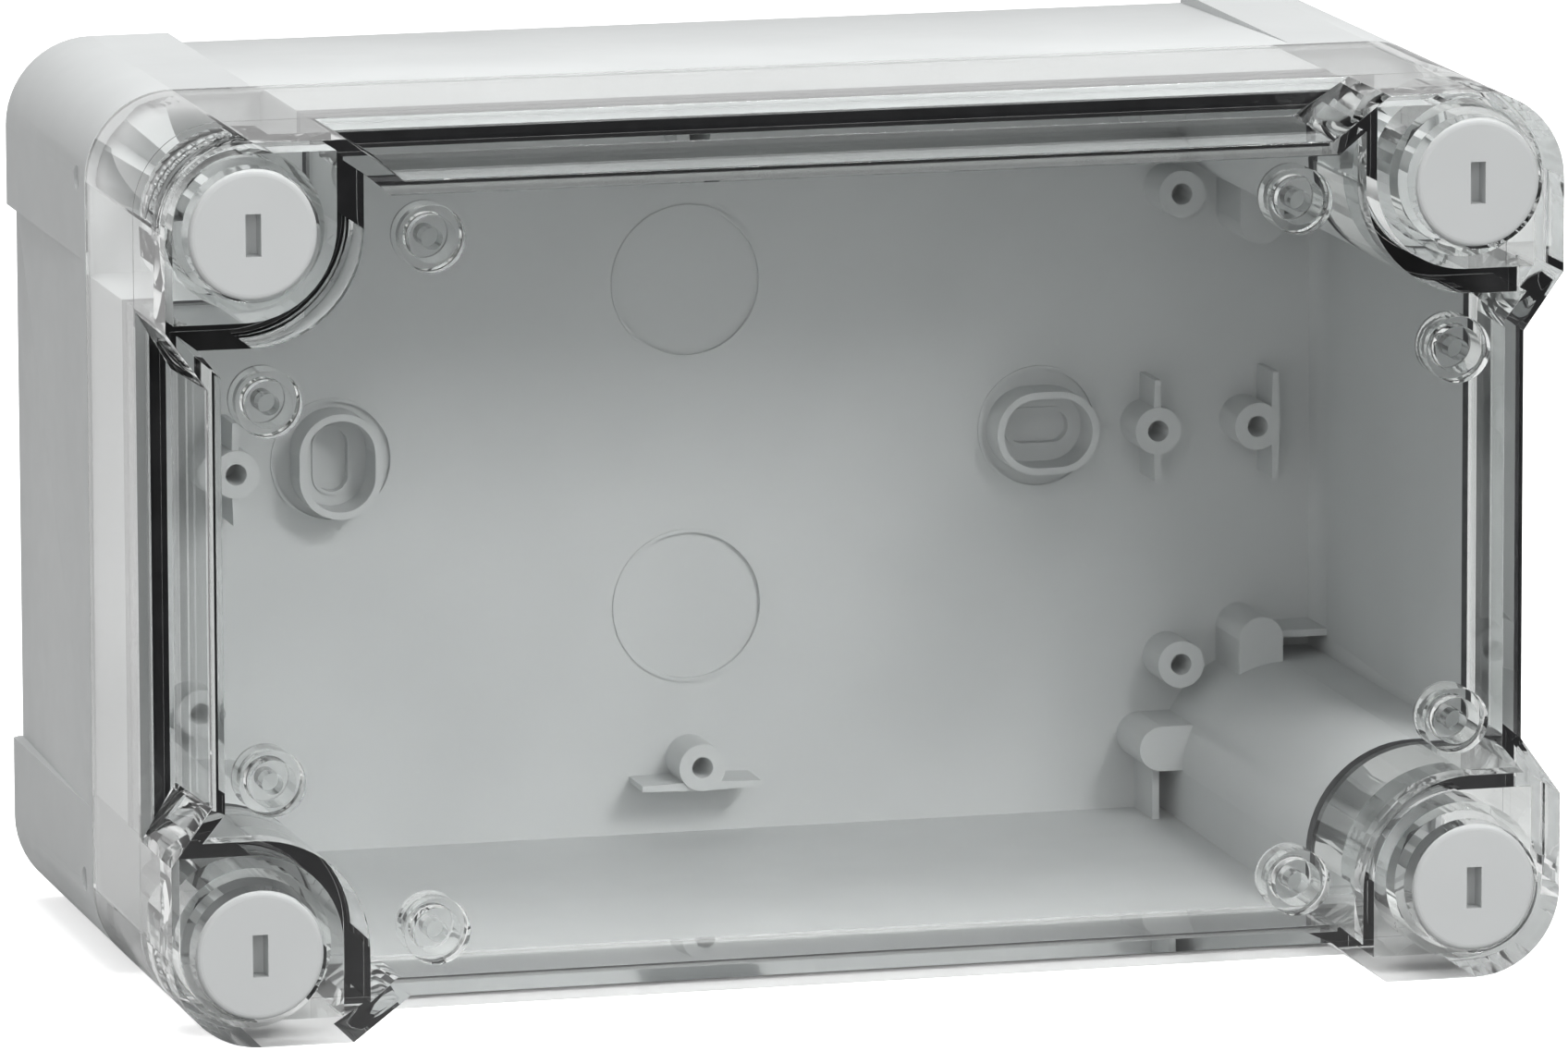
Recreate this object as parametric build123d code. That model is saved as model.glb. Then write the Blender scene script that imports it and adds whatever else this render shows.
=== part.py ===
from build123d import *
import os

# Wall-mount enclosure: grey base, clear cover, sealing cord and four quarter-turn cover screws.
# Frame in mm: X to the right, Z up, the back of the base lies in the plane Y = 0 and the
# front looks along -Y. The origin is the centre of the back face. Depths and levels are
# measured from the back towards the front.

os.makedirs("parts", exist_ok=True)

# overall size
WIDTH = 192.0
HEIGHT = 121.0
BASE_DEPTH = 54.0
COVER_DEPTH = 51.0
CORNER_R = 12.0
DEPTH = BASE_DEPTH + COVER_DEPTH
HALF_W = WIDTH / 2
HALF_H = HEIGHT / 2

# fits
SLIDE_GAP = 0.3
HEAD_GAP = 0.2
PIVOT_GAP = 0.05
RIM_GAP = 0.3
CORD_GAP = 0.05
CORD_SIDE_GAP = 0.2

# modelling aids: how far an added form reaches into its carrier, and a cut past its face
SINK = 0.5
PAST = 0.1

# cover walls
SKIRT = 1.9
LOBE_WALL = 2.3
WINDOW_T = 2.8
WINDOW_WALL = 2.1
WINDOW_INSET_X = 5.6
WINDOW_INSET_Z = 5.9
WINDOW_DRAFT = 0.9
CHANNEL_DROP = 19.0
PLATE_T = 2.7
RIB_T = 2.2
SCREW_WALL_R = 12.5
WELL_WALL = 2.7
FLARE_REACH = 20.3
FLARE_IN = 3.1
FLARE_RUN = 3.8
RECESS_T = 3.0
CHANNEL = DEPTH - CHANNEL_DROP
PLATE_BACK = CHANNEL - PLATE_T
WINDOW_BACK = DEPTH - WINDOW_T
WINDOW_HALF_W = HALF_W - WINDOW_INSET_X
WINDOW_HALF_H = HALF_H - WINDOW_INSET_Z
INSIDE_HALF_W = WINDOW_HALF_W - WINDOW_WALL
INSIDE_HALF_H = WINDOW_HALF_H - WINDOW_WALL
WELL_R = SCREW_WALL_R + WELL_WALL

# hollow bosses behind the window, placed from the sides of the box
COVER_BOSS_D = 9.0
COVER_BOSS_BORE = 6.4
COVER_BOSS_L = 5.5
COVER_BOSS_INSETS = [(36.4, 14.0), (14.2, 35.1)]

# cover screws
SCREW_INSET_X = 12.0
SCREW_INSET_Z = 12.3
HEAD_D = 17.4
HEAD_T = 5.5
HEAD_BELOW = 0.3
SLOT_W = 2.1
SLOT_L = 5.7
SLOT_DEEP = 3.0
SHANK_D = 6.0
SHANK_RIB = 2.2
LUG_SPAN = 10.4
LUG_W = 2.6
LUG_T = 3.0
LUG_GAP = 0.5
TIP_L = 1.5
GROOVE_D = 4.6
RING_W = 9.0
RING_T = 1.6
RING_GAP = 0.1
RING_PLAY = 1.7
SCREW_X = HALF_W - SCREW_INSET_X
SCREW_Z = HALF_H - SCREW_INSET_Z
HEAD_FRONT = DEPTH - HEAD_BELOW
HEAD_SEAT = HEAD_FRONT - HEAD_T
RECESS_FLOOR = HEAD_SEAT - HEAD_GAP
RECESS_BACK = RECESS_FLOOR - RECESS_T
GROOVE_FRONT = RECESS_BACK - RING_PLAY + RING_GAP
GROOVE_BACK = GROOVE_FRONT - RING_T - 2 * RING_GAP

# base walls
FLOOR = 3.0
TOWER = 23.0
PANEL_RECESS = 1.5
BASE_WALL = 2.6
BACK_EDGE = 0.8
RIM_RISE = 21.0
RIM_WALL = 2.4
RIM_TOP = BASE_DEPTH + RIM_RISE
RIM_HALF_W = HALF_W - SKIRT - RIM_GAP
RIM_HALF_H = HALF_H - SKIRT - RIM_GAP
RIM_R = SCREW_WALL_R + HEAD_GAP
CAVITY_HALF_W = RIM_HALF_W - RIM_WALL
CAVITY_HALF_H = RIM_HALF_H - RIM_WALL
CAVITY_R = RIM_R + RIM_WALL
CAVITY_DRAFT = 0.5

# decks in the corners of the base, with the keyways that take the cover screws
DECK_DROP = 2.0
DECK_T = 5.0
DECK_TOP = BASE_DEPTH - DECK_DROP
DECK_BACK = DECK_TOP - DECK_T
LUG_FRONT = DECK_BACK - LUG_GAP
TIP_LEVEL = LUG_FRONT - LUG_T - TIP_L

# round dimples in the side walls, level with the screws
DIMPLE_D = 3.3
DIMPLE_DEEP = 0.5
DIMPLE_DROP = 5.5

# sealing cord
CORD_T = 2.5
CORD_LIP = 0.4
SEAT = RIM_TOP + CORD_T

# bosses on the floor, placed from the sides of the box
BOSS_TOP = 11.0
BOSS_D = 6.7
PILOT_D = 3.0
PILOT_DEEP = 7.5
CORNER_BOSS_INSET_X = 26.2
CORNER_BOSS_INSET_Z = 26.9
RAIL_BOSS_INSET = 29.6
SIDE_BOSS_INSET = 15.0
MID_BOSS_INSET = 15.7
FIN_T = 1.3
FIN_END_T = 0.8
FIN_DROP = 0.4
FIN_LENGTH = 14.4
SIDE_FIN_LENGTH = 15.2
MID_FIN_LENGTH = 17.2
CORNER_BOSS_X = HALF_W - CORNER_BOSS_INSET_X
CORNER_BOSS_Z = HALF_H - CORNER_BOSS_INSET_Z
RAIL_BOSS_X = HALF_W - RAIL_BOSS_INSET
SIDE_BOSS_X = HALF_W - SIDE_BOSS_INSET
MID_BOSS_Z = HALF_H - MID_BOSS_INSET

# stubs beside the corner columns
STUB_W = 6.4
STUB_TOP = 15.0
STUB_INSET_X = 15.6
STUB_INSET_Z = 15.7
STUB_END_INSET_X = 33.4
STUB_END_INSET_Z = 33.9
STUB_RIB_T = 1.0
STUB_RIB_TOP = 12.0

# wall-fixing places and cable knock-outs in the floor
FIXING_INSET = 45.0
COLLAR_L = 14.9
COLLAR_W = 11.8
COLLAR_WALL = 1.0
COLLAR_TOP = 8.7
OBLONG_L = 8.9
OBLONG_W = 4.6
OBLONG_DEEP = 2.0
KNOCK_Z = 23.0
KNOCK_D = 20.8
SMALL_KNOCK_D = 16.6
KNOCK_DEEP = 0.4
FIXING_X = HALF_W - FIXING_INSET

CORNERS = {"tl": (-1, 1), "tr": (1, 1), "bl": (-1, -1), "br": (1, -1)}


def level(depth):
    """Plane parallel to the back, a distance towards the front."""
    return Plane.XZ.offset(depth)


def slab(outline, start, end):
    """Straight prism of an outline between two levels."""
    return extrude(level(start) * outline, amount=end - start)


def at(x, z, outline):
    """Moves an outline in the plane of the back."""
    return Pos(x, z) * outline


def in_two(shape, plane):
    """A shape and its mirror image."""
    return shape + mirror(shape, about=plane)


def in_all_corners(shape):
    """The top right shape and its three mirror images."""
    return in_two(in_two(shape, Plane.XY), Plane.YZ)


def cross_outline(half_w, half_h, radius):
    """Rectangle with a rounded bite round each screw, as the seal runs."""
    low_x = SCREW_X - radius
    low_z = SCREW_Z - radius
    mid = radius * 0.5 ** 0.5
    edges = []
    last = None
    first = None
    for sx, sz in ((1, 1), (-1, 1), (-1, -1), (1, -1)):
        points = [(half_w, low_z), (SCREW_X, low_z), (SCREW_X - mid, SCREW_Z - mid),
                  (low_x, SCREW_Z), (low_x, half_h)]
        points = [(sx * x, sz * z) for x, z in points]
        if sx * sz < 0:
            points.reverse()
        if last is None:
            first = points[0]
        else:
            edges.append(Line(last, points[0]))
        edges.append(Line(points[0], points[1]))
        edges.append(ThreePointArc(points[1], points[2], points[3]))
        edges.append(Line(points[3], points[4]))
        last = points[4]
    edges.append(Line(last, first))
    return make_face(edges)


def corner_outline(radius, inset):
    """Part of the box outline, set in, that lies on the screw side of the seal, top right."""
    low_x = SCREW_X - radius
    low_z = SCREW_Z - radius
    mid = radius * 0.5 ** 0.5
    right = HALF_W - inset
    top = HALF_H - inset
    round_r = CORNER_R - inset
    far = round_r * (1 - 0.5 ** 0.5)
    edges = [
        Line((low_x, top), (right - round_r, top)),
        ThreePointArc((right - round_r, top), (right - far, top - far), (right, top - round_r)),
        Line((right, top - round_r), (right, low_z)),
        Line((right, low_z), (SCREW_X, low_z)),
        ThreePointArc((SCREW_X, low_z), (SCREW_X - mid, SCREW_Z - mid), (low_x, SCREW_Z)),
        Line((low_x, SCREW_Z), (low_x, top)),
    ]
    return make_face(edges)


def panel_wedge(length):
    """Wedge taken off a top or bottom panel, deepest at the back."""
    taper = PANEL_RECESS * SINK / BASE_DEPTH
    section = Polygon(
        (0, HALF_H + TOWER), (BASE_DEPTH, HALF_H + TOWER), (BASE_DEPTH, HALF_H),
        (-SINK, HALF_H - PANEL_RECESS - taper), (-SINK, HALF_H + TOWER), align=None)
    plane = Plane((0, 0, 0), x_dir=(0, -1, 0), z_dir=(1, 0, 0))
    return in_two(extrude(plane * section, amount=length / 2), Plane.YZ)


def side_wedge(length):
    """Wedge taken off a side panel, deepest at the back."""
    taper = PANEL_RECESS * SINK / BASE_DEPTH
    section = Polygon(
        (HALF_W + TOWER, -SINK), (HALF_W + TOWER, BASE_DEPTH), (HALF_W, BASE_DEPTH),
        (HALF_W - PANEL_RECESS - taper, -SINK), align=None)
    plane = Plane((0, 0, 0), x_dir=(1, 0, 0), z_dir=(0, 0, 1))
    wedge = extrude(plane * mirror(section, about=Plane.XZ), amount=length / 2)
    return in_two(wedge, Plane.XY)


def base_body():
    """Walls, floor and the rim that carries the seal."""
    body = slab(RectangleRounded(WIDTH, HEIGHT, CORNER_R), 0, BASE_DEPTH)
    body = chamfer(body.faces().sort_by(Axis.Y)[-1].edges(), BACK_EDGE)
    body -= in_two(panel_wedge(WIDTH - 2 * TOWER), Plane.XY)
    body -= in_two(side_wedge(HEIGHT - 2 * TOWER), Plane.YZ)
    body += slab(cross_outline(RIM_HALF_W, RIM_HALF_H, RIM_R), BASE_DEPTH, RIM_TOP)
    low = cross_outline(CAVITY_HALF_W - CAVITY_DRAFT, CAVITY_HALF_H - CAVITY_DRAFT, CAVITY_R)
    high = cross_outline(CAVITY_HALF_W, CAVITY_HALF_H, CAVITY_R)
    return body - loft([level(FLOOR) * low, level(RIM_TOP) * high], ruled=True)


def corner_hollows():
    """Hollow corners behind and before the decks, and the keyways through the decks."""
    outline = corner_outline(RIM_R, BASE_WALL)
    hollow = slab(outline, -PAST, DECK_BACK)
    hollow += slab(outline, DECK_TOP, BASE_DEPTH + PAST)
    round_key = Circle(SHANK_D / 2 + SLIDE_GAP)
    long_key = Rectangle(LUG_W + 2 * SLIDE_GAP, LUG_SPAN + 2 * SLIDE_GAP)
    hollow += slab(at(SCREW_X, SCREW_Z, round_key + long_key), DECK_BACK - PAST, DECK_TOP + PAST)
    return in_all_corners(hollow)


def boss(x, z):
    """Round screw boss standing on the floor."""
    return slab(at(x, z, Circle(BOSS_D / 2)), FLOOR - SINK, BOSS_TOP)


def pilot(x, z):
    """Blind screw hole in a floor boss."""
    return slab(at(x, z, Circle(PILOT_D / 2)), BOSS_TOP - PILOT_DEEP, BOSS_TOP + PAST)


def fin(x, z, length, upright):
    """Thin web, tapered towards its ends when seen from the front."""
    half = length / 2
    end = FIN_END_T / 2
    outline = Polygon((-half, -end), (0, -FIN_T / 2), (half, -end),
                      (half, end), (0, FIN_T / 2), (-half, end), align=None)
    if upright:
        outline = Rot(0, 0, 90) * outline
    return slab(at(x, z, outline), FLOOR - SINK, BOSS_TOP - FIN_DROP)


def floor_bosses():
    """All screw bosses of the floor with their webs."""
    to_edge = BOSS_D / 2 - FIN_T / 2
    rail = boss(RAIL_BOSS_X, 0) + fin(RAIL_BOSS_X, 0, FIN_LENGTH, True)
    side = boss(SIDE_BOSS_X, 0) + fin(SIDE_BOSS_X + to_edge, 0, SIDE_FIN_LENGTH, True)
    mid = boss(0, MID_BOSS_Z) + fin(0, MID_BOSS_Z + to_edge, MID_FIN_LENGTH, False)
    out = in_all_corners(boss(CORNER_BOSS_X, CORNER_BOSS_Z))
    return out + in_two(rail + side, Plane.YZ) + in_two(mid, Plane.XY)


def floor_pilots():
    """Blind holes of the floor bosses."""
    out = in_all_corners(pilot(CORNER_BOSS_X, CORNER_BOSS_Z))
    out += in_two(pilot(RAIL_BOSS_X, 0) + pilot(SIDE_BOSS_X, 0), Plane.YZ)
    return out + in_two(pilot(0, MID_BOSS_Z), Plane.XY)


def stub_bar(end, reach, across, lengthwise):
    """Round-ended bar from its free end to a corner column."""
    straight = reach - end - STUB_W / 2
    middle = end + STUB_W / 2 + straight / 2
    if lengthwise:
        outline = at(middle, across, Rectangle(straight, STUB_W))
        outline += at(end + STUB_W / 2, across, Circle(STUB_W / 2))
    else:
        outline = at(across, middle, Rectangle(STUB_W, straight))
        outline += at(across, end + STUB_W / 2, Circle(STUB_W / 2))
    return slab(outline, FLOOR - SINK, STUB_TOP)


def corner_stubs():
    """Stubs that run into each corner column, each with a thin rib to the wall."""
    stub_x = HALF_W - STUB_INSET_X
    stub_z = HALF_H - STUB_INSET_Z
    end_x = HALF_W - STUB_END_INSET_X
    end_z = HALF_H - STUB_END_INSET_Z
    stub = stub_bar(end_z, SCREW_Z - SINK, stub_x, False)
    stub += stub_bar(end_x, SCREW_X - SINK, stub_z, True)
    rib_l = CAVITY_HALF_W - stub_x - STUB_W / 2 + 2 * SINK
    rib_x = stub_x + STUB_W / 2 - SINK + rib_l / 2
    rib = at(rib_x, end_z + STUB_W / 2, Rectangle(rib_l, STUB_RIB_T))
    stub += slab(rib, FLOOR - SINK, STUB_RIB_TOP)
    rib_l = CAVITY_HALF_H - stub_z - STUB_W / 2 + 2 * SINK
    rib_z = stub_z + STUB_W / 2 - SINK + rib_l / 2
    rib = at(end_x + STUB_W / 2, rib_z, Rectangle(STUB_RIB_T, rib_l))
    stub += slab(rib, FLOOR - SINK, STUB_RIB_TOP)
    return in_all_corners(stub)


def collar(x, angle):
    """Oval collar round a wall-fixing place."""
    outer = SlotOverall(COLLAR_L, COLLAR_W)
    inner = SlotOverall(COLLAR_L - 2 * COLLAR_WALL, COLLAR_W - 2 * COLLAR_WALL)
    return slab(at(x, 0, Rot(0, 0, angle) * (outer - inner)), FLOOR - SINK, COLLAR_TOP)


def oblong(x, angle):
    """Oblong pocket that leaves a thin skin to break out."""
    outline = Rot(0, 0, angle) * SlotOverall(OBLONG_L, OBLONG_W)
    return slab(at(x, 0, outline), FLOOR - OBLONG_DEEP, FLOOR + PAST)


def knock_out(x, z, diameter):
    """Shallow round step in the floor that marks a knock-out."""
    return slab(at(x, z, Circle(diameter / 2)), FLOOR - KNOCK_DEEP, FLOOR + PAST)


def dimple():
    """Round dimple in a side wall, top right."""
    middle = (HALF_W - DIMPLE_DEEP, DIMPLE_DROP - BASE_DEPTH, SCREW_Z)
    plane = Plane(middle, x_dir=(0, 1, 0), z_dir=(1, 0, 0))
    return extrude(plane * Circle(DIMPLE_D / 2), amount=DIMPLE_DEEP + PAST)


def make_base():
    """Grey base with everything moulded on it."""
    body = base_body()
    body -= knock_out(0, KNOCK_Z, KNOCK_D) + knock_out(0, -KNOCK_Z, KNOCK_D)
    body -= in_two(knock_out(FIXING_X, 0, SMALL_KNOCK_D), Plane.YZ)
    body += floor_bosses() + corner_stubs()
    body += collar(FIXING_X, 0) + collar(-FIXING_X, 90)
    body -= floor_pilots()
    body -= oblong(FIXING_X, 0) + oblong(-FIXING_X, 90)
    return body - corner_hollows() - in_all_corners(dimple())


def notch(near, far, half, edge):
    """Drafted cut down to the channel between two lobes, with slanted ends, at the top."""
    outlines = []
    for depth, side in ((CHANNEL, edge + WINDOW_DRAFT), (DEPTH, edge)):
        outline = Polygon((-near, half + PAST), (-near, half), (-far, side), (far, side),
                          (near, half), (near, half + PAST), align=None)
        outlines.append(level(depth) * outline)
    return loft(outlines, ruled=True)


def notches():
    """The four cuts that leave the window and the corner lobes standing."""
    top = notch(SCREW_X - SCREW_WALL_R, SCREW_X - FLARE_REACH, HALF_H, WINDOW_HALF_H)
    side = notch(SCREW_Z - SCREW_WALL_R, SCREW_Z - FLARE_REACH, HALF_W, WINDOW_HALF_W)
    return in_two(top, Plane.XY) + in_two(Rot(0, 90, 0) * side, Plane.YZ)


def flare_bays():
    """Hollows behind the slanted walls beside each lobe."""
    near = SCREW_X - WELL_R
    top = Polygon((near - FLARE_RUN, INSIDE_HALF_H - SINK), (near, INSIDE_HALF_H - SINK),
                  (near, INSIDE_HALF_H + FLARE_IN), (near - FLARE_RUN, INSIDE_HALF_H), align=None)
    near = SCREW_Z - WELL_R
    side = Polygon((INSIDE_HALF_W - SINK, near - FLARE_RUN), (INSIDE_HALF_W, near - FLARE_RUN),
                   (INSIDE_HALF_W + FLARE_IN, near), (INSIDE_HALF_W - SINK, near), align=None)
    bays = slab(top, PLATE_BACK - PAST, WINDOW_BACK) + slab(side, PLATE_BACK - PAST, WINDOW_BACK)
    return in_all_corners(bays)


def cover_bosses():
    """Short hollow bosses behind the window."""
    outline = Circle(COVER_BOSS_D / 2) - Circle(COVER_BOSS_BORE / 2)
    bosses = [
        slab(at(HALF_W - x, HALF_H - z, outline), WINDOW_BACK - COVER_BOSS_L, WINDOW_BACK + SINK)
        for x, z in COVER_BOSS_INSETS
    ]
    return in_all_corners(bosses[0] + bosses[1])


def screw_well():
    """Hollow of a cover corner, the recess for the screw head and the hole for its shank."""
    hollow = slab(corner_outline(SCREW_WALL_R, LOBE_WALL), PLATE_BACK - PAST, RECESS_BACK)
    recess = Circle(HEAD_D / 2 + HEAD_GAP)
    hollow += slab(at(SCREW_X, SCREW_Z, recess), RECESS_FLOOR, DEPTH + PAST)
    hole = Circle(SHANK_D / 2 + PIVOT_GAP)
    return hollow + slab(at(SCREW_X, SCREW_Z, hole), RECESS_BACK - PAST, RECESS_FLOOR + PAST)


def seal_rib():
    """Rib behind the channel that presses on the seal."""
    outer = cross_outline(RIM_HALF_W, RIM_HALF_H, SCREW_WALL_R)
    inner = cross_outline(RIM_HALF_W - RIB_T, RIM_HALF_H - RIB_T, WELL_R)
    return slab(outer - inner, SEAT, PLATE_BACK + SINK)


def make_cover():
    """Clear cover: skirt, channel with the seal rib, raised window and corner lobes."""
    body = slab(RectangleRounded(WIDTH, HEIGHT, CORNER_R), BASE_DEPTH + SLIDE_GAP, DEPTH)
    body -= notches()
    skirt_in = RectangleRounded(WIDTH - 2 * SKIRT, HEIGHT - 2 * SKIRT, CORNER_R - SKIRT)
    body -= slab(skirt_in, BASE_DEPTH, PLATE_BACK)
    inside_w = INSIDE_HALF_W + WINDOW_DRAFT
    inside_h = INSIDE_HALF_H + WINDOW_DRAFT
    low = cross_outline(inside_w, inside_h, WELL_R)
    high = cross_outline(INSIDE_HALF_W, INSIDE_HALF_H, WELL_R)
    body -= loft([level(PLATE_BACK - PAST) * low, level(WINDOW_BACK) * high], ruled=True)
    body -= flare_bays()
    body -= in_all_corners(screw_well())
    return body + seal_rib() + cover_bosses()


def make_cord():
    """Flat sealing cord on the seat of the cover."""
    outer_inset = SKIRT + CORD_SIDE_GAP
    outer = cross_outline(HALF_W - outer_inset, HALF_H - outer_inset, SCREW_WALL_R + CORD_GAP)
    inner = cross_outline(CAVITY_HALF_W - CORD_LIP, CAVITY_HALF_H - CORD_LIP, WELL_R - CORD_GAP)
    return slab(outer, RIM_TOP + CORD_GAP, SEAT) - slab(inner, RIM_TOP, SEAT + PAST)


def ribbed(diameter):
    """Cross section of a moulded shank whose ribs turn in a hole of this diameter."""
    across = (diameter ** 2 - SHANK_RIB ** 2) ** 0.5
    return Rectangle(across, SHANK_RIB) + Rectangle(SHANK_RIB, across)


def make_screw(x, z):
    """Quarter-turn screw: slotted head, ribbed shank with a groove, two lugs."""
    head = slab(Circle(HEAD_D / 2), HEAD_SEAT, HEAD_FRONT)
    head -= slab(Rectangle(SLOT_W, SLOT_L), HEAD_FRONT - SLOT_DEEP, HEAD_FRONT + PAST)
    thick = ribbed(SHANK_D)
    thin = ribbed(GROOVE_D)
    shank = slab(thick, TIP_LEVEL, GROOVE_BACK)
    shank += slab(thin, GROOVE_BACK, GROOVE_FRONT)
    shank += slab(thick, GROOVE_FRONT, HEAD_SEAT + SINK)
    lugs = slab(Rectangle(LUG_W, LUG_SPAN), LUG_FRONT - LUG_T, LUG_FRONT)
    return Pos(x, 0, z) * (head + shank + lugs)


def make_ring(x, z):
    """Open retaining ring in the groove of the shank, which keeps the screw in the cover."""
    inner_r = GROOVE_D / 2 + PIVOT_GAP
    mouth = Pos(0, -RING_W / 2) * Rectangle(2 * inner_r, RING_W)
    outline = Rectangle(RING_W, RING_W) - Circle(inner_r) - mouth
    start = GROOVE_BACK + RING_GAP
    return Pos(x, 0, z) * slab(outline, start, start + RING_T)


export_step(make_base(), "parts/base_shell.step")
export_step(make_cover(), "parts/cover.step")
export_step(make_cord(), "parts/cover_seal.step")
for name, (sx, sz) in CORNERS.items():
    export_step(make_screw(sx * SCREW_X, sz * SCREW_Z), f"parts/screw_{name}.step")
    export_step(make_ring(sx * SCREW_X, sz * SCREW_Z), f"parts/screw_ring_{name}.step")
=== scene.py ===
"""Looks of the wall-mount enclosure: grey base, clear cover, black seal and four cover screws."""

import math

import bmesh
import bpy
from mathutils import Matrix, Vector


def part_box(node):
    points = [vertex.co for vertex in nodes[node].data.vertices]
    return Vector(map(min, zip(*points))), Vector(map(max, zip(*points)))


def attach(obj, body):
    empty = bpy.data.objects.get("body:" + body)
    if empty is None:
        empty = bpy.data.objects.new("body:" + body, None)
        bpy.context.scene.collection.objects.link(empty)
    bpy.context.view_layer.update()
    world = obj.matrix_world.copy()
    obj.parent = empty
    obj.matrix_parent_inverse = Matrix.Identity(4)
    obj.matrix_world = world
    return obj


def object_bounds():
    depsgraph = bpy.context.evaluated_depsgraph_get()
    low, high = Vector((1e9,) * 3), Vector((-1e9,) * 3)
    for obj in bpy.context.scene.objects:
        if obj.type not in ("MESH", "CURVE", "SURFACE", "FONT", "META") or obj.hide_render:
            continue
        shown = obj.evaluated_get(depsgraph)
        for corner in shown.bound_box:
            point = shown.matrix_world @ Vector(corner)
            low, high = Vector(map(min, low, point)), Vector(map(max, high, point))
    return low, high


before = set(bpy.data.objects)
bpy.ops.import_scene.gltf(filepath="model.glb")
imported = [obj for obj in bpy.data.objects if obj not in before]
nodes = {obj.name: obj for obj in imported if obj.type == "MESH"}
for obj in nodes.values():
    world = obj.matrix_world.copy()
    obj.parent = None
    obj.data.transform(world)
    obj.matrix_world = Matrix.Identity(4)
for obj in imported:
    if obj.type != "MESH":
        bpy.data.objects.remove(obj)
cad_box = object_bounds()

CORNERS = {"tl": (-1, 1), "tr": (1, 1), "bl": (-1, -1), "br": (1, -1)}
MM = 0.001

# camera: place, viewing direction and upward direction in the row frame, lens in pixels
IMAGE_W = 1696
CAMERA_AT = Vector((-465.0, -1838.7, 325.5)) * MM
LOOK = Vector((0.2477, 0.9528, -0.1754))
UP = Vector((0.0474, 0.1689, 0.9845))
FOCAL_PIXELS = 14826
AXIS_PIXELS_LEFT = 15
SENSOR = 36.0
CLIP_START = 0.05
CLIP_END = 50

# colours of the mouldings, from the darkest patch to the lightest
BASE_COLOURS = (0.575, 0.59, 0.59), (0.605, 0.62, 0.62)
SCREW_COLOURS = (0.545, 0.56, 0.56), (0.575, 0.59, 0.59)
SEAL_COLOURS = (0.012, 0.012, 0.014), (0.022, 0.022, 0.025)
RING_COLOURS = (0.03, 0.03, 0.032), (0.045, 0.045, 0.05)
COVER_COLOUR = (0.975, 0.985, 0.98, 1)

# roughness, from the smoothest patch to the roughest
BASE_ROUGHNESS = 0.5, 0.6
SCREW_ROUGHNESS = 0.38, 0.48
COVER_ROUGHNESS = 0.0, 0.03
RUBBER_ROUGHNESS = 0.45, 0.65
FLOOR_ROUGHNESS = 0.9

# grain: scale of the noise, strength and height of the bump
MOULDED_GRAIN = 3200.0, 0.12, 0.00004
COVER_GRAIN = 60.0, 0.02, 0.0002
RUBBER_GRAIN = 1800.0, 0.25, 0.0001

# patches of colour and of roughness: scale of their noise, and where it starts and ends
MOULDED_PATCHES = 35.0, 220.0
RUBBER_PATCHES = 300.0, 500.0
COVER_PATCHES = 90.0
COLOUR_LIMITS = 0.35, 0.65
ROUGHNESS_LIMITS = 0.3, 0.7

MOULDED_IOR = 1.5
COVER_IOR = 1.52

# rounded edges of the mouldings and the tolerance of the weld before them, in mm and degrees
COVER_EDGE = 0.5
BASE_EDGE = 0.3
EDGE_SEGMENTS = 2
EDGE_ANGLE = 30
WELD = 0.002

# front rims of the screw heads, and how near to one a vertex has to be, in mm
HEAD_FRONT = 104.7
HEAD_R = 8.7
HEAD_ROUND = 0.8
HEAD_SEGMENTS = 4
RIM_REACH = 0.1

# pins in the hollow bosses behind the window of the cover, in mm
WINDOW_BACK = 102.2
PIN_PLACES = [(59.6, 46.5), (81.8, 25.4)]
PIN_D = 2.9
PIN_LENGTH = 5.0
PIN_GAP = 0.05
PIN_SEGMENTS = 32

# clear tubes round the screws, in mm
SCREW_X = 84.0
SCREW_Z = 48.2
GUIDE_R = 9.6
GUIDE_WALL = 1.2
GUIDE_BACK = 88.0
GUIDE_FRONT = 95.95
GUIDE_SEGMENTS = 48

# fine raised lines on the floor of the base, in mm: round knock-outs, fixing places and slots
FLOOR_LEVEL = 3.0
STEP_LEVEL = 2.6
KNOCK_Z = 23.0
KNOCK_R = 10.4
FIXING_X = 51.0
FIXING_R = 8.3
SLOT_R = 2.3
SLOT_REACH = 2.15
LINE_W = 0.5
LINE_H = 0.25
LINE_SEGMENTS = 64

# levels of the sky and the floor: for light on the object, for the camera, and for the dark room
# that gloss and the cover show; and how much of the bright backdrop they show
SKY_LIGHT = 0.4
SKY_SHOWN = 1.0
SKY_ROOM = 0.05
FLOOR_BOUNCE = 0.5
FLOOR_SHOWN = 0.97
FLOOR_ROOM = 0.08
FLOOR_GLOW = 0.6
BACKDROP_SHARE = 0.8

# where the backdrop starts and ends: depth on the floor in metres, else parts of a direction
FLOOR_BEHIND = -0.3, -0.1
SKY_BEHIND = -0.1, 0.3
SKY_LOW = 0.05, 0.5
SKY_OVERHEAD = 0.6, 0.8
RISING = 0.0, 1.0
FALLING = 1.0, 0.0
FLOOR_HALF = 6.0

# lamps: place and side of the square in metres, power in watts
LAMP_AIM = Vector((0, -0.05, 0))
LAMPS = {
    "top_lamp": ((0.0, -0.05, 1.5), 1.2, 19),
    "fill_lamp": ((-0.5, -2.0, 0.45), 1.5, 9),
    "key_lamp": ((0.72, -1.7, 1.19), 0.5, 15),
}

# paths of light, long enough for the many clear walls
ALL_BOUNCES = 32
CLEAR_BOUNCES = 24


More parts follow.
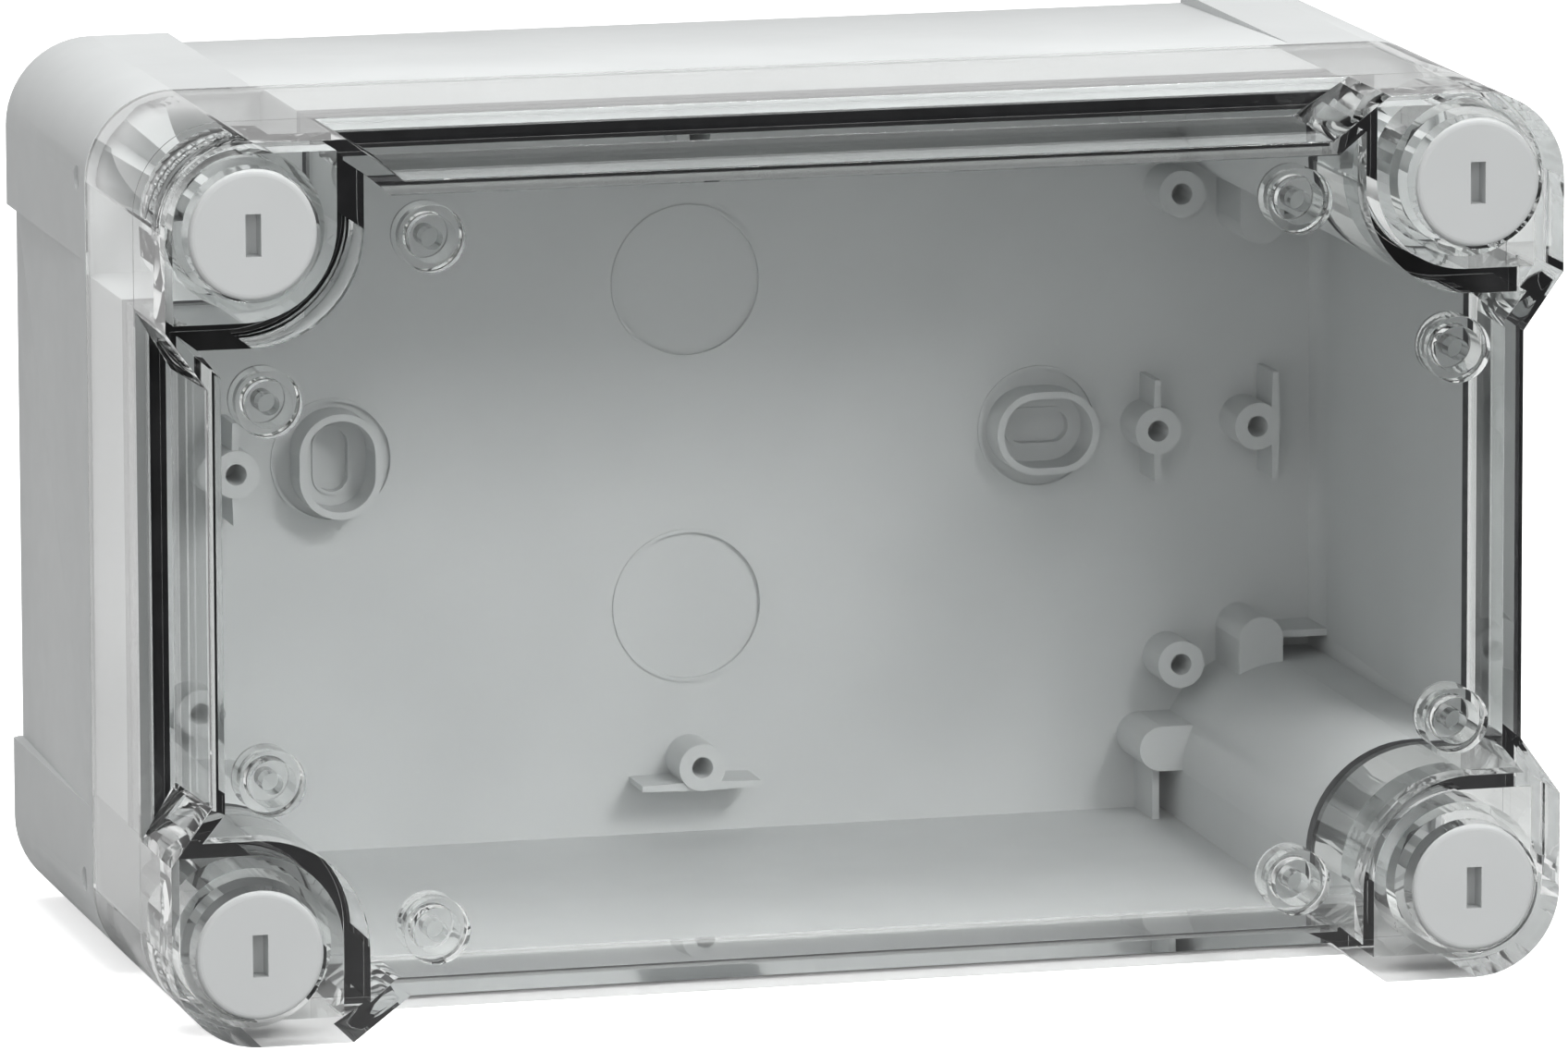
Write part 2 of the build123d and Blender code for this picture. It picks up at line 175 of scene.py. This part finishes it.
def add_node(tree, kind, **values):
    """A shader node with its plain properties and sockets set."""
    made = tree.nodes.new(kind)
    for key, value in values.items():
        if key in made.inputs:
            made.inputs[key].default_value = value
        else:
            setattr(made, key, value)
    return made


def calculate(tree, operation, *terms):
    """Output of a Math node whose terms are numbers or outputs of other nodes."""
    made = add_node(tree, "ShaderNodeMath", operation=operation)
    for socket, term in zip(made.inputs, terms):
        if isinstance(term, float):
            socket.default_value = term
        else:
            tree.links.new(term, socket)
    return made.outputs[0]


def ramp(tree, value, limits, levels):
    """Straight ramp of a value, from one level at the first limit to another at the second."""
    made = add_node(tree, "ShaderNodeMapRange")
    made.inputs["From Min"].default_value = limits[0]
    made.inputs["From Max"].default_value = limits[1]
    made.inputs["To Min"].default_value = levels[0]
    made.inputs["To Max"].default_value = levels[1]
    tree.links.new(value, made.inputs["Value"])
    return made.outputs["Result"]


def new_material(name):
    """Empty material with a Principled shader; returns material, tree and shader."""
    made = bpy.data.materials.new(name)
    made.use_nodes = True
    tree = made.node_tree
    shader = tree.nodes["Principled BSDF"]
    return made, tree, shader


def add_grain(tree, shader, scale, strength, distance):
    """Fine moulded grain as bump; returns the node that gives the place in object space."""
    place = add_node(tree, "ShaderNodeTexCoord")
    noise = add_node(tree, "ShaderNodeTexNoise", Scale=scale, Detail=3.0, Roughness=0.6)
    bump = add_node(tree, "ShaderNodeBump", Strength=strength, Distance=distance)
    tree.links.new(place.outputs["Object"], noise.inputs["Vector"])
    tree.links.new(noise.outputs["Fac"], bump.inputs["Height"])
    tree.links.new(bump.outputs["Normal"], shader.inputs["Normal"])
    return place


def vary_colour(tree, shader, place, colours, scale):
    """Faint cloudy change of colour over a surface."""
    cloud = add_node(tree, "ShaderNodeTexNoise", Scale=scale, Detail=2.0)
    blend = add_node(tree, "ShaderNodeValToRGB")
    for stop, limit, colour in zip(blend.color_ramp.elements, COLOUR_LIMITS, colours):
        stop.position = limit
        stop.color = (*colour, 1)
    tree.links.new(place.outputs["Object"], cloud.inputs["Vector"])
    tree.links.new(cloud.outputs["Fac"], blend.inputs["Fac"])
    tree.links.new(blend.outputs["Color"], shader.inputs["Base Color"])


def vary_roughness(tree, shader, place, roughness, scale):
    """Roughness that wanders between two values."""
    cloud = add_node(tree, "ShaderNodeTexNoise", Scale=scale, Detail=4.0)
    tree.links.new(place.outputs["Object"], cloud.inputs["Vector"])
    spread = ramp(tree, cloud.outputs["Fac"], ROUGHNESS_LIMITS, roughness)
    tree.links.new(spread, shader.inputs["Roughness"])


def moulded_plastic(name, colours, roughness):
    """Opaque moulded plastic with fine spark-eroded grain."""
    made, tree, shader = new_material(name)
    place = add_grain(tree, shader, *MOULDED_GRAIN)
    vary_colour(tree, shader, place, colours, MOULDED_PATCHES[0])
    vary_roughness(tree, shader, place, roughness, MOULDED_PATCHES[1])
    shader.inputs["IOR"].default_value = MOULDED_IOR
    return made


def clear_plastic(name):
    """Clear polished polycarbonate with the faint waviness of a moulding."""
    made, tree, shader = new_material(name)
    place = add_grain(tree, shader, *COVER_GRAIN)
    shader.inputs["Base Color"].default_value = COVER_COLOUR
    shader.inputs["IOR"].default_value = COVER_IOR
    shader.inputs["Transmission Weight"].default_value = 1.0
    vary_roughness(tree, shader, place, COVER_ROUGHNESS, COVER_PATCHES)
    return made


def rubber(name, colours):
    """Matt foamed elastomer."""
    made, tree, shader = new_material(name)
    place = add_grain(tree, shader, *RUBBER_GRAIN)
    vary_colour(tree, shader, place, colours, RUBBER_PATCHES[0])
    vary_roughness(tree, shader, place, RUBBER_ROUGHNESS, RUBBER_PATCHES[1])
    return made


def dress(name, material):
    """Gives a CAD node its finish."""
    mesh = nodes[name].data
    mesh.materials.clear()
    mesh.materials.append(material)


def add_object(name, data):
    """An object in the scene for a mesh, lamp or camera."""
    made = bpy.data.objects.new(name, data)
    bpy.context.scene.collection.objects.link(made)
    return made


def add_weld(made):
    """Joins the faces of a CAD node along their edges, so that a bevel finds them."""
    weld = made.modifiers.new("weld", "WELD")
    weld.merge_threshold = WELD * MM


def soften(name, width):
    """Small rounded edges on a CAD node, along all of its sharp edges."""
    made = nodes[name]
    add_weld(made)
    bevel = made.modifiers.new("soft_edges", "BEVEL")
    bevel.width = width * MM
    bevel.segments = EDGE_SEGMENTS
    bevel.limit_method = "ANGLE"
    bevel.angle_limit = math.radians(EDGE_ANGLE)


def round_heads():
    """Rounded front rims on the screw heads, from a vertex group of each rim."""
    for corner in CORNERS:
        made = nodes[f"screw_{corner}"]
        middle = head_middle(made)
        rim = [v.index for v in made.data.vertices if on_rim(v.co / MM, middle)]
        group = made.vertex_groups.new(name="rim")
        group.add(rim, 1.0, "REPLACE")
        add_weld(made)
        bevel = made.modifiers.new("rounded_rim", "BEVEL")
        bevel.width = HEAD_ROUND * MM
        bevel.segments = HEAD_SEGMENTS
        bevel.limit_method = "VGROUP"
        bevel.vertex_group = "rim"


def head_middle(made):
    """Middle of a screw head across the front, in mm."""
    low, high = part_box(made.name)
    return (low.x + high.x) / 2 / MM, (low.z + high.z) / 2 / MM


def on_rim(place, middle):
    """True on the front rim of a screw head."""
    across = math.hypot(place.x - middle[0], place.z - middle[1])
    return across > HEAD_R - RIM_REACH and place.y < RIM_REACH - HEAD_FRONT


def cylinder(name, radius, start, end, middle, material):
    """Closed cylinder along the depth, between two levels, in mm."""
    mesh = bpy.data.meshes.new(name)
    form = bmesh.new()
    turn = Matrix.Rotation(math.pi / 2, 4, "X")
    place = Matrix.Translation(Vector((middle[0], -(start + end) / 2, middle[1])) * MM)
    bmesh.ops.create_cone(form, cap_ends=True, segments=PIN_SEGMENTS, radius1=radius * MM,
                          radius2=radius * MM, depth=(end - start) * MM, matrix=place @ turn)
    form.to_mesh(mesh)
    form.free()
    mesh.materials.append(material)
    return add_object(name, mesh)


def outline_points(radius, segments, reach=(0, 0)):
    """Circle, or an oblong where its halves are moved apart by a reach in x and z."""
    points = []
    for step in range(segments):
        angle = math.tau * (step + 0.5) / segments
        across = math.cos(angle)
        up = math.sin(angle)
        points.append((radius * across + math.copysign(reach[0], across),
                       radius * up + math.copysign(reach[1], up)))
    return points


def hoop(name, inner, outer, start, end, middle, material):
    """Closed solid between two outlines, from one level to another, in mm."""
    points = []
    faces = []
    count = len(inner)
    for step in range(count):
        for (x, z), front in ((inner[step], start), (outer[step], start),
                              (outer[step], end), (inner[step], end)):
            points.append(Vector((middle[0] + x, -front, middle[1] + z)) * MM)
        here = 4 * step
        after = 4 * ((step + 1) % count)
        for side in range(4):
            other = (side + 1) % 4
            faces.append((here + side, here + other, after + other, after + side))
    mesh = bpy.data.meshes.new(name)
    mesh.from_pydata(points, [], faces)
    mesh.materials.append(material)
    return add_object(name, mesh)


def line_round(name, radius, level, middle, reach=(0, 0)):
    """Fine raised line on the base round a circle or an oblong, sizes in mm."""
    inner = outline_points(radius, LINE_SEGMENTS, reach)
    outer = outline_points(radius + LINE_W, LINE_SEGMENTS, reach)
    made = hoop(name, inner, outer, level - LINE_H, level + LINE_H, middle, grey)
    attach(made, "base")


def make_guides():
    """Clear tubes of the cover round the screws, behind the recesses of the heads."""
    inner = outline_points(GUIDE_R, GUIDE_SEGMENTS)
    outer = outline_points(GUIDE_R + GUIDE_WALL, GUIDE_SEGMENTS)
    for corner, (sx, sz) in CORNERS.items():
        made = hoop(f"cover_guide_{corner}", inner, outer, GUIDE_BACK, GUIDE_FRONT,
                    (sx * SCREW_X, sz * SCREW_Z), clear)
        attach(made, "cover")


def make_lines():
    """Fine lines round the knock-outs, the fixing places and the slots that break out."""
    for number, z in enumerate((KNOCK_Z, -KNOCK_Z), 1):
        line_round(f"knock_line_{number}", KNOCK_R, FLOOR_LEVEL, (0, z))
    for side, x in (("left", -FIXING_X), ("right", FIXING_X)):
        line_round(f"fixing_line_{side}", FIXING_R, FLOOR_LEVEL, (x, 0))
    line_round("slot_line_left", SLOT_R, STEP_LEVEL, (-FIXING_X, 0), (0, SLOT_REACH))
    line_round("slot_line_right", SLOT_R, STEP_LEVEL, (FIXING_X, 0), (SLOT_REACH, 0))


def make_pins():
    """Clear pins that stand inside the hollow bosses of the cover."""
    front = WINDOW_BACK - PIN_GAP
    for corner, (sx, sz) in CORNERS.items():
        for number, (x, z) in enumerate(PIN_PLACES, 1):
            made = cylinder(f"cover_pin_{corner}_{number}", PIN_D / 2, front - PIN_LENGTH, front,
                            (sx * x, sz * z), clear)
            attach(made, "cover")


def make_camera():
    """Camera at the photograph's place, turned by its look and up directions."""
    data = bpy.data.cameras.new("camera")
    data.sensor_width = SENSOR
    data.lens = FOCAL_PIXELS / IMAGE_W * SENSOR
    data.shift_x = AXIS_PIXELS_LEFT / IMAGE_W
    data.clip_start = CLIP_START
    data.clip_end = CLIP_END
    made = add_object("camera", data)
    back = -LOOK.normalized()
    right = UP.cross(back).normalized()
    up = back.cross(right)
    turn = Matrix((right, up, back)).transposed().to_4x4()
    made.matrix_world = Matrix.Translation(CAMERA_AT) @ turn
    bpy.context.scene.camera = made


def directly_seen(tree, path):
    """1 for what is seen directly, in gloss or through the cover; 0 for light on the object."""
    shown = calculate(tree, "MAXIMUM", path.outputs["Is Camera Ray"],
                      path.outputs["Is Transmission Ray"])
    shown = calculate(tree, "MAXIMUM", shown, path.outputs["Is Glossy Ray"])
    unscattered = calculate(tree, "LESS_THAN", path.outputs["Diffuse Depth"], 0.5)
    return calculate(tree, "MULTIPLY", shown, unscattered)


def level_for(tree, light, room, shown, bright):
    """Level of a surface: light for rays that light the object, shown for the camera, and for
    gloss and the cover between room and shown, by how bright the place is."""
    path = add_node(tree, "ShaderNodeLightPath")
    share = calculate(tree, "MULTIPLY", bright, BACKDROP_SHARE)
    share = calculate(tree, "MAXIMUM", share, path.outputs["Is Camera Ray"])
    seen_level = ramp(tree, share, RISING, (room, shown))
    level = add_node(tree, "ShaderNodeMapRange")
    level.inputs["To Min"].default_value = light
    tree.links.new(seen_level, level.inputs["To Max"])
    tree.links.new(directly_seen(tree, path), level.inputs["Value"])
    return level.outputs["Result"]


def make_floor():
    """Pale floor that shows white to the camera and keeps a soft shadow."""
    low = cad_box[0].z
    half = FLOOR_HALF
    mesh = bpy.data.meshes.new("floor")
    corners = [(-half, -half, low), (half, -half, low), (half, half, low), (-half, half, low)]
    mesh.from_pydata(corners, [], [(0, 1, 2, 3)])
    made = add_object("floor", mesh)
    material, tree, shader = new_material("floor_white")
    shader.inputs["Roughness"].default_value = FLOOR_ROUGHNESS
    shader.inputs["Specular IOR Level"].default_value = 0.0
    place = add_node(tree, "ShaderNodeTexCoord")
    parts = add_node(tree, "ShaderNodeSeparateXYZ")
    tree.links.new(place.outputs["Object"], parts.inputs[0])
    behind = ramp(tree, parts.outputs["Y"], FLOOR_BEHIND, RISING)
    colour = level_for(tree, FLOOR_BOUNCE, FLOOR_ROOM, FLOOR_SHOWN, behind)
    tree.links.new(colour, shader.inputs["Base Color"])
    shader.inputs["Emission Color"].default_value = (1, 1, 1, 1)
    path = add_node(tree, "ShaderNodeLightPath")
    glow = ramp(tree, path.outputs["Is Camera Ray"], RISING, (0.0, FLOOR_GLOW))
    tree.links.new(glow, shader.inputs["Emission Strength"])
    mesh.materials.append(material)


def make_world():
    """Even sky for light, white to the camera. Gloss and the cover show a dark room with a
    bright backdrop, low behind the object and overhead."""
    world = bpy.data.worlds.new("studio")
    bpy.context.scene.world = world
    world.use_nodes = True
    tree = world.node_tree
    background = tree.nodes["Background"]
    background.inputs["Color"].default_value = (1, 1, 1, 1)
    direction = add_node(tree, "ShaderNodeTexCoord")
    parts = add_node(tree, "ShaderNodeSeparateXYZ")
    tree.links.new(direction.outputs["Generated"], parts.inputs[0])
    low = ramp(tree, parts.outputs["Z"], SKY_LOW, FALLING)
    behind = ramp(tree, parts.outputs["Y"], SKY_BEHIND, RISING)
    overhead = ramp(tree, parts.outputs["Z"], SKY_OVERHEAD, RISING)
    bright = calculate(tree, "MAXIMUM", calculate(tree, "MULTIPLY", low, behind), overhead)
    level = level_for(tree, SKY_LIGHT, SKY_ROOM, SKY_SHOWN, bright)
    tree.links.new(level, background.inputs["Strength"])


def soft_lamp(name, place, side, watts):
    """Square area lamp aimed at the middle of the object, not seen through the cover."""
    data = bpy.data.lights.new(name, "AREA")
    data.shape = "SQUARE"
    data.size = side
    data.energy = watts
    made = add_object(name, data)
    made.location = place
    made.rotation_mode = "QUATERNION"
    aim = LAMP_AIM - Vector(place)
    made.rotation_quaternion = aim.to_track_quat("-Z", "Y")
    made.visible_transmission = False


grey = moulded_plastic("base_grey", BASE_COLOURS, BASE_ROUGHNESS)
screw_grey = moulded_plastic("screw_grey", SCREW_COLOURS, SCREW_ROUGHNESS)
clear = clear_plastic("cover_clear")
seal_black = rubber("seal_black", SEAL_COLOURS)
ring_black = rubber("ring_black", RING_COLOURS)

dress("base_shell", grey)
dress("cover", clear)
dress("cover_seal", seal_black)
for corner in CORNERS:
    dress(f"screw_{corner}", screw_grey)
    dress(f"screw_ring_{corner}", ring_black)

soften("cover", COVER_EDGE)
soften("base_shell", BASE_EDGE)
round_heads()
make_pins()
make_lines()
make_guides()

# the cover lets the light of lamps and sky in, and only what is seen through it is refracted
nodes["cover"].visible_shadow = False

make_camera()
make_floor()
make_world()
for name, (place, side, watts) in LAMPS.items():
    soft_lamp(name, place, side, watts)

bounces = bpy.context.scene.cycles
bounces.max_bounces = ALL_BOUNCES
bounces.glossy_bounces = CLEAR_BOUNCES
bounces.transmission_bounces = CLEAR_BOUNCES

bpy.context.scene.view_settings.view_transform = "Standard"
